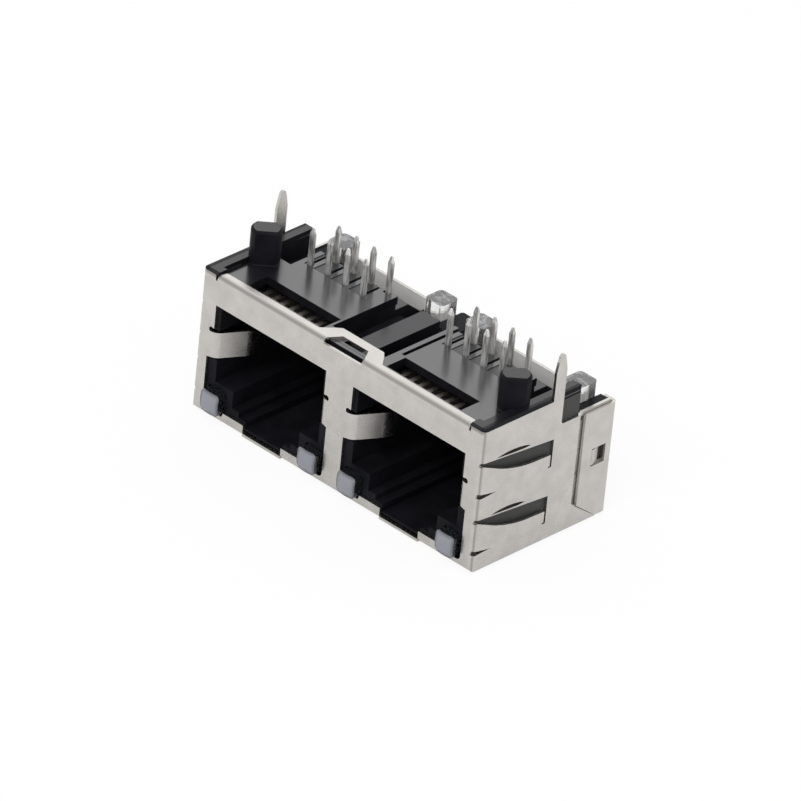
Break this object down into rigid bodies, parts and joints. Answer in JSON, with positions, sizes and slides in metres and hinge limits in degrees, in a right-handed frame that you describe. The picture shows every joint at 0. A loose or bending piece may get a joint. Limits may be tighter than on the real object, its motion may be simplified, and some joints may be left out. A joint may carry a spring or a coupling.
{
  "type": "shielded modular jack",
  "caption": "Side-by-side shielded right-angle modular jack for a circuit board, with gold-tipped spring contacts, locating pegs and clear light pipes, lying with its board side up",
  "frame": {"origin": "on the closed face that the jack lies on, midway between the two ports, at the front face", "axes": "+X along the front towards the right port, +Y from the front face to the rear cover, +Z from the closed face towards the circuit board"},
  "size_m": [0.033, 0.0167, 0.0176],
  "materials": {
    "housing_plastic": "moulded, slightly glossy",
    "insert_plastic": "moulded, slightly glossy",
    "shield": "bright tin plating over rolled sheet",
    "contact": "tin-plated tails, gold-plated springs",
    "light_pipe": "clear moulded plastic, lens faces slightly milky"
  },
  "bodies": {
    "root": {"housing": "housing_plastic", "front_shell": "shield", "rear_cover": "shield", "insert_left": "insert_plastic", "insert_right": "insert_plastic", "contact_left_1": "contact", "contact_left_2": "contact", "contact_left_3": "contact", "contact_left_4": "contact", "contact_left_5": "contact", "contact_left_6": "contact", "contact_left_7": "contact", "contact_left_8": "contact", "contact_right_1": "contact", "contact_right_2": "contact", "contact_right_3": "contact", "contact_right_4": "contact", "contact_right_5": "contact", "contact_right_6": "contact", "contact_right_7": "contact", "contact_right_8": "contact", "light_pipe_1": "light_pipe", "light_pipe_2": "light_pipe", "light_pipe_3": "light_pipe", "light_pipe_4": "light_pipe"}
  },
  "joints": []
}
